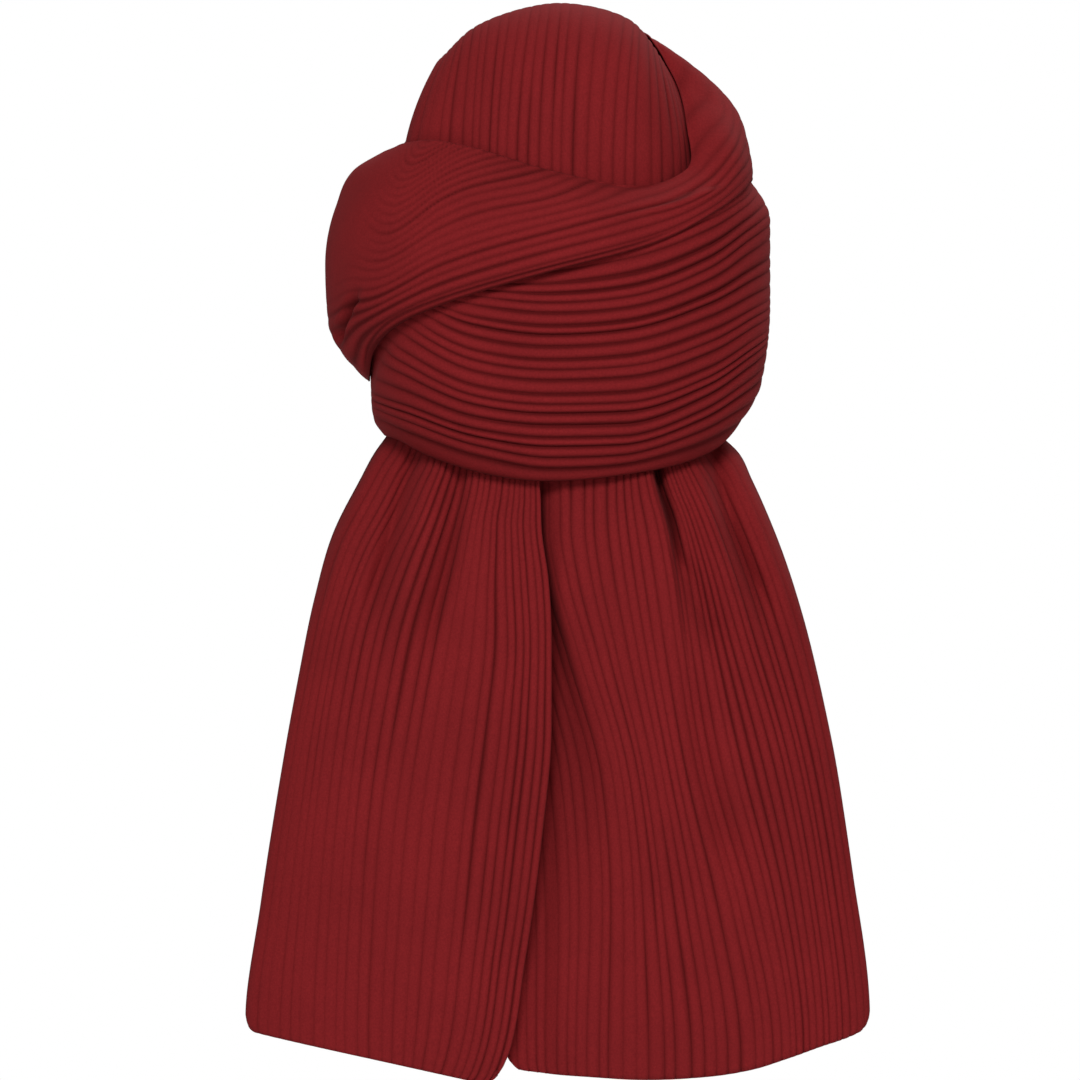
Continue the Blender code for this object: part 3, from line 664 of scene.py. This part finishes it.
def piece(name, node, mesh):
    """A stretch of cloth in place of its solid, with its thickness on the inside."""
    obj = bpy.data.objects.new(name, mesh)
    bpy.context.scene.collection.objects.link(obj)
    wall = obj.modifiers.new("wall", "SOLIDIFY")
    wall.thickness = THICKNESS * MM
    wall.offset = -1
    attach(obj, "root")
    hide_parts(node)
    return obj


def cloth_uv(points):
    """Each point's place in the flat cloth: lengths along and across the grid, summed from its first line."""
    across = np.linalg.norm(np.diff(points, axis=1), axis=-1).mean(axis=0)
    along = np.linalg.norm(np.diff(points, axis=0), axis=-1).mean(axis=1)
    u = np.concatenate([[0], np.cumsum(across)])
    v = np.concatenate([[0], np.cumsum(along)])
    return np.stack(np.broadcast_arrays(u[None, :], v[:, None]), axis=-1)


def crown_wall(spring):
    """Level lines from the crown's foot up to its spring line, which isn't among them."""
    up = np.linspace(0, 1, CROWN_WALL_ROWS, endpoint=False)[:, None]
    lines = np.repeat(spring[None], CROWN_WALL_ROWS, axis=0)
    lines[..., 2] = foot_z(spring[:, 1]) * (1 - up) + CROWN_SPRING_Z * up
    return lines


def crown_base(u):
    """Arches from the front foot over the top to the back foot, without their ribs."""
    rise = np.linspace(0, 180, 2 * CROWN_ARCH_ROWS + 1)
    dome = crown_grid(u, rise)
    dome[rise > 90, :, 1] *= -1
    return np.concatenate([crown_wall(dome[0]), dome, crown_wall(dome[-1])[::-1]])


def crown_cut(base, u):
    """How deep the crown's grooves are, less so at its top and its left."""
    along = np.linspace(0, 1, len(base))[:, None]
    phase = (np.arange(len(u)) / CROWN_POINTS)[None, :]
    cut = groove_cut(phase, along, CROWN_SEEDS[0]) * capped(base, CROWN_GROOVE, CROWN_POINTS)
    cut *= 1 - TOP_FADE * np.exp(-(((base[..., 2] - base[..., 2].max()) / TOP_FADE_HEIGHT) ** 2))
    leftward = ease((LEFT_FADE_U[0] - u) / (LEFT_FADE_U[0] - LEFT_FADE_U[1]))
    return cut * (1 - LEFT_FADE * leftward)[None, :]


def closed_sides(rows, columns):
    """Which point each place in the crown's grid uses: down both sides the back half shares the front's."""
    index = np.arange(rows * columns).reshape(rows, columns)
    middle = rows // 2
    index[middle + 1 :, 0] = index[:middle, 0][::-1]
    index[middle + 1 :, -1] = index[:middle, -1][::-1]
    return index.reshape(-1)


def add_crown():
    """The crown: parallel arches with upright pleats, closed down both sides."""
    u = 2 * uneven(CROWN_RIBS, CROWN_POINTS, CROWN_SEEDS[1]) / CROWN_RIBS - 1
    base = crown_base(u)
    rows, columns = base.shape[:2]
    out = normals(base)
    out *= np.sign(out[rows // 2, columns // 2, 2])
    cut = crown_cut(base, u)
    side = np.minimum(1, SIDE_THINS * (1 - np.abs(u)))[None, :]
    points = base + out * ((RIDGE - cut) * side)[..., None]
    points[:, (0, -1)] = base[:, (0, -1)]
    faces = closed_sides(rows, columns)[grid_faces(rows, columns, False)]
    mesh = cloth_mesh("crown_cloth", points, faces, cloth_uv(base), cut, RING_MIDDLE)
    return piece("crown_cloth", "crown", mesh)


def band_base(angles, up):
    """The band without its ribs: its profile at the heights of its pleats' lines."""
    z = band_lines(angles, up)
    share = np.linspace(0, 1, REACH_SAMPLES)
    radius, height = wrap_grid(table(UNDER_COLUMNS, UNDER_ROWS), UNDER_AT, angles, share)
    profiles = zip(z, height[:, ::-1], radius[:, ::-1])
    reach = np.array([np.interp(wanted, line, out) for wanted, line, out in profiles])
    return ring_point(angles[:, None], reach, z)


def band_cut(base, angles):
    """How deep the band's grooves are."""
    depth = round_ring(table(UNDER_COLUMNS, UNDER_ROWS), "depth", angles)[:, None] * side_fade(angles)
    phase = (np.arange(base.shape[1]) / BAND_POINTS)[None, :]
    along = ((angles + 180) / 360)[:, None]
    share = groove_cut(phase, along, BAND_SEEDS[0], BAND_SHAPE)
    return share * capped(base, depth, BAND_POINTS, BAND_STEEPNESS)


def add_band():
    """The level band round the neck: pleats run round it, one below another, and fan out at both sides."""
    angles = np.arange(BAND_SECTIONS) * 360 / BAND_SECTIONS - 180
    up = uneven(BAND_RIBS, BAND_POINTS, BAND_SEEDS[1])[::-1]
    base = band_base(angles, up)
    covered = near_edge(angles, base[..., 2])
    cut = band_cut(base, angles) * (1 - RECESS_FLATTER * covered)
    recess = RECESS_DEPTH * covered * rise_and_fall(angles, RECESS_ANGLES)[:, None]
    points = base + outwards(base) * (RIDGE - cut - recess)[..., None]
    faces = grid_faces(len(angles), len(up), True)
    mesh = cloth_mesh("band_cloth", points, faces, cloth_uv(base), cut, RING_MIDDLE)
    return piece("band_cloth", "wrap_under", mesh)


def near_edge(angles, z):
    """1 at the height of the upper wrap's lower edge, 0 well away from it."""
    edge = round_ring(table(OVER_COLUMNS, OVER_ROWS), "low_z", angles)[:, None]
    return np.exp(-(((z - edge) / RECESS_HEIGHT) ** 2))


def side_fade(angles):
    """Shallower grooves where a wrap turns away at the left and right, so its outline stays smooth."""
    return (1 - SIDE_FADE * np.abs(np.sin(np.radians(angles))) ** SIDE_FADE_POWER)[:, None]


def outwards(base):
    """Normals of a ring's grid, pointing away from its middle."""
    out = normals(base, wrap=True)
    return out * np.sign((out[..., :2] * base[..., :2]).sum())


def over_surface(rows, angles, share):
    """The upper wrap without its pleats, off the crown and the band, its lower edge turned in like a lip."""
    radius, height = wrap_grid(rows, OVER_AT, angles, share)
    reach = ring_reach(angles)[:, None]
    over_crown = crown_reach(angles, height) + (SEAM + SLOPE_ALLOWANCE * THICKNESS) / reach
    over_band = band_reach(angles, height) + (SEAM + THICKNESS) / reach
    least = np.maximum(over_crown, over_band)
    radius = np.maximum(radius, least)
    from_edge = edge_distance(ring_point(angles[:, None], radius, height))
    turned = np.sqrt(np.clip(1 - (1 - from_edge / LIP) ** 2, 0, 1))
    turned = np.where(from_edge < LIP, turned, 1)
    return ring_point(angles[:, None], least + (radius - least) * turned, height), from_edge


def edge_distance(base):
    """How far each point of a wrap's grid lies from its lower edge, along the cloth."""
    step = np.linalg.norm(np.diff(base, axis=1), axis=-1)
    width = np.concatenate([np.zeros((len(base), 1)), np.cumsum(step, axis=1)], axis=1)
    return width[:, -1:] - width


def over_cut(rows, angles, share, from_edge):
    """How deep the upper wrap's grooves are: more pleats show the wider it is, and their lines wander."""
    pleats = round_ring(rows, "pleats", angles)[:, None]
    stray = WANDER * wander(from_edge.shape, OVER_SEEDS[1], WANDER_KNOTS) * ease(from_edge / WANDER_FROM_EDGE)
    phase = np.maximum((1 - share) * pleats + stray, 0)
    top = round_ring(rows, "depth_top", angles)[:, None]
    low = round_ring(rows, "depth_low", angles)[:, None]
    depth = (top + (low - top) * ease(2 * share - 1)) * side_fade(angles)
    turn = angles[:, None]
    cut = groove_cut(phase, (turn + 180) / 360, OVER_SEEDS[0], OVER_SHAPE) * depth
    lip = np.exp(-(((from_edge - LIP_GROOVE_AT) / LIP_GROOVE_HALF_WIDTH) ** 2))
    return cut + LIP_GROOVE * lip * rise_and_fall(turn, LIP_GROOVE_ANGLES)


def add_over():
    """The upper wrap, from the strand at the right, across the front and round the left and back."""
    rows = table(OVER_COLUMNS, OVER_ROWS)
    angles = np.arange(OVER_SECTIONS) * 360 / OVER_SECTIONS - 180
    even = np.linspace(0, 1, OVER_ACROSS + 1)
    share = even * (1 + EDGE_CROWDING * (1 - even))
    base, from_edge = over_surface(rows, angles, share)
    cut = over_cut(rows, angles, share, from_edge)
    from_top = from_edge[:, :1] - from_edge
    thins = ease(from_top / UPPER_THINS) * ease(LOWER_LEAST + from_edge / LOWER_THINS)
    pocket = np.exp(-(((from_edge - POCKET_FROM_EDGE) / POCKET_HALF_WIDTH) ** 2))
    lift = (RIDGE - cut) * thins - POCKET_DEPTH * rise_and_fall(angles[:, None], POCKET_ANGLES) * pocket
    points = base + outwards(base) * lift[..., None]
    faces = grid_faces(len(angles), len(share), True)
    mesh = cloth_mesh("over_cloth", points, faces, cloth_uv(base), cut, WRAP_MIDDLE)
    return piece("over_cloth", "wrap_over", mesh)


def add_tail(name, node, rows, counts, seeds, depths_at, **drape):
    """A hanging end with upright ribs. counts has its ribs, its points for each rib and its levels."""
    ribs, per_rib, levels = counts
    across = uneven(ribs, per_rib, seeds[1]) / ribs
    base, deep = tail_grid(rows, across, levels, **drape)
    out = normals(base)
    out *= -np.sign(out[..., 1:2])
    down = -rows["edge_z"]
    at = np.linspace(down[0], down[-1], levels)
    depths = [key for key in rows if key[0] == "d" and key != "dip"]
    knots = np.stack([smooth(at, down, rows[key]) for key in depths], axis=-1)
    depth = np.array([smooth(across, depths_at, line) for line in knots])
    phase = (np.arange(len(across)) / per_rib)[None, :]
    along = np.linspace(0, 1, levels)[:, None]
    cut = groove_cut(phase, along, seeds[0]) * capped(base, depth, per_rib)
    points = base + out * (RIDGE - cut)[..., None]
    faces = grid_faces(levels, len(across), False)
    # the groove attribute gets the grooves' depth and the painted shade of the hollow and the flank
    mesh = cloth_mesh(name, points, faces, cloth_uv(base), cut + PAINTED_FOLD_SHADE * deep, TAIL_BEHIND)
    return piece(name, node, mesh)


def noise(tree, settings):
    """A noise in the object's own coordinates, with its scale, detail and roughness."""
    made = tree.nodes.new("ShaderNodeTexNoise")
    for name, value in zip(("Scale", "Detail", "Roughness"), settings):
        made.inputs[name].default_value = value
    place = tree.nodes.new("ShaderNodeTexCoord")
    tree.links.new(place.outputs["Object"], made.inputs["Vector"])
    return made.outputs["Fac"]


def ramp(tree, share, ends):
    """A colour from a share, between two ends that each have a place and a colour."""
    made = tree.nodes.new("ShaderNodeValToRGB")
    for element, (position, colour) in zip(made.color_ramp.elements, ends):
        element.position = position
        element.color = colour
    tree.links.new(share, made.inputs["Fac"])
    return made.outputs["Color"]


def multiplied(tree, one, other):
    """Two colours multiplied."""
    made = tree.nodes.new("ShaderNodeMix")
    made.data_type = "RGBA"
    made.blend_type = "MULTIPLY"
    made.inputs["Factor"].default_value = 1.0
    tree.links.new(one, made.inputs["A"])
    tree.links.new(other, made.inputs["B"])
    return made.outputs["Result"]


def cloth_colour(tree):
    """Dark red with a fine grain and a slow change of tone, with painted shade darkening it in the grooves
    and folds.
    """
    grained = ramp(tree, noise(tree, GRAIN), GRAIN_RAMP)
    toned = multiplied(tree, grained, ramp(tree, noise(tree, TONE), TONE_RAMP))
    # painted shade: the groove attribute darkens the colour in the grooves and folds
    groove = tree.nodes.new("ShaderNodeAttribute")
    groove.attribute_name = "groove"
    return multiplied(tree, toned, ramp(tree, groove.outputs["Fac"], PAINTED_SHADE_RAMP))


def thread_bump(tree):
    """Normals with the fine relief of the threads."""
    bump = tree.nodes.new("ShaderNodeBump")
    bump.inputs["Strength"].default_value = THREAD_STRENGTH
    bump.inputs["Distance"].default_value = THREAD_HEIGHT
    tree.links.new(noise(tree, THREADS), bump.inputs["Height"])
    return bump.outputs["Normal"]


def add_cloth_material():
    """Matte plisse with a faint sheen."""
    material = bpy.data.materials.new("plisse")
    material.use_nodes = True
    tree = material.node_tree
    shader = tree.nodes["Principled BSDF"]
    shader.inputs["Roughness"].default_value = ROUGHNESS
    shader.inputs["Specular IOR Level"].default_value = SPECULAR
    shader.inputs["Sheen Weight"].default_value = SHEEN
    shader.inputs["Sheen Roughness"].default_value = SHEEN_ROUGHNESS
    shader.inputs["Sheen Tint"].default_value = SHEEN_TINT
    tree.links.new(cloth_colour(tree), shader.inputs["Base Color"])
    tree.links.new(thread_bump(tree), shader.inputs["Normal"])


def add_camera():
    """A long lens, level and square on, that sees what the photo's frame holds."""
    data = bpy.data.cameras.new("camera")
    data.sensor_width = SENSOR
    data.lens = SENSOR * abs(CAMERA_AT[1]) / FRAME_WIDTH
    data.clip_end = CLIP_END
    camera = bpy.data.objects.new("camera", data)
    camera.location = CAMERA_AT
    camera.rotation_euler = (math.pi / 2, 0, 0)
    bpy.context.scene.collection.objects.link(camera)
    bpy.context.scene.camera = camera


def area_light(name, place, aim, size, power):
    """A soft square light that points from its place at a spot."""
    data = bpy.data.lights.new(name, "AREA")
    data.shape = "SQUARE"
    data.size = size
    data.energy = power
    light = bpy.data.objects.new(name, data)
    away = np.array(place) - np.array(aim)
    yaw = math.atan2(away[0], -away[1])
    pitch = math.atan2(math.hypot(away[0], away[1]), away[2])
    light.location = place
    light.rotation_euler = (pitch, 0, yaw)
    bpy.context.scene.collection.objects.link(light)


def floor_material():
    """Pale and matte."""
    material = bpy.data.materials.new("pale_floor")
    material.use_nodes = True
    shader = material.node_tree.nodes["Principled BSDF"]
    shader.inputs["Base Color"].default_value = FLOOR_COLOUR
    shader.inputs["Roughness"].default_value = FLOOR_ROUGHNESS
    return material


def add_floor():
    """A round floor below the object."""
    turn = np.linspace(0, 2 * math.pi, FLOOR_CORNERS, endpoint=False)
    x, y = FLOOR_RADIUS * np.cos(turn), FLOOR_RADIUS * np.sin(turn)
    rim = np.stack([x, y, np.full(FLOOR_CORNERS, FLOOR_Z)], axis=-1)
    mesh = bpy.data.meshes.new("floor")
    mesh.from_pydata(rim.tolist(), [], [list(range(FLOOR_CORNERS))])
    mesh.materials.append(floor_material())
    floor = bpy.data.objects.new("floor", mesh)
    bpy.context.scene.collection.objects.link(floor)


def add_surroundings():
    """White where the camera looks past the object, and a weak even light on the object from all round."""
    world = bpy.data.worlds.new("studio")
    world.use_nodes = True
    tree = world.node_tree
    around = tree.nodes["Background"]
    around.inputs["Color"].default_value = WHITE
    around.inputs["Strength"].default_value = AMBIENT
    seen = tree.nodes.new("ShaderNodeBackground")
    seen.inputs["Color"].default_value = WHITE
    seen.inputs["Strength"].default_value = 1.0
    path = tree.nodes.new("ShaderNodeLightPath")
    choose = tree.nodes.new("ShaderNodeMixShader")
    tree.links.new(path.outputs["Is Camera Ray"], choose.inputs["Fac"])
    tree.links.new(around.outputs["Background"], choose.inputs[1])
    tree.links.new(seen.outputs["Background"], choose.inputs[2])
    tree.links.new(choose.outputs["Shader"], tree.nodes["World Output"].inputs["Surface"])
    bpy.context.scene.world = world


def add_studio():
    """The floor, the lights and the surroundings, seen in plain colours."""
    add_floor()
    for row in LIGHT_ROWS:
        area_light(**dict(zip(LIGHT_COLUMNS.split(), row)))
    add_surroundings()
    bpy.context.scene.view_settings.view_transform = "Standard"


add_camera()
add_cloth_material()
crown = add_crown()
band = add_band()
over = add_over()
left = add_tail(
    "left_tail_cloth",
    "tail_left",
    table(LEFT_COLUMNS, LEFT_ROWS),
    (LEFT_RIBS, LEFT_POINTS, LEFT_LEVELS),
    LEFT_SEEDS,
    LEFT_DEPTHS_AT,
    lines_at=LEFT_AT,
    folds=LEFT_FOLDS,
    hem=LEFT_HEM,
    lift=LEFT_LIFT,
)
right = add_tail(
    "right_tail_cloth",
    "tail_right",
    table(RIGHT_COLUMNS, RIGHT_ROWS),
    (RIGHT_RIBS, RIGHT_POINTS, RIGHT_LEVELS),
    RIGHT_SEEDS,
    RIGHT_AT,
    lines_at=RIGHT_AT,
    folds=RIGHT_FOLDS,
    hem=RIGHT_HEM,
    lap=LAP_DEPTH,
    overlap=True,
)

add_studio()
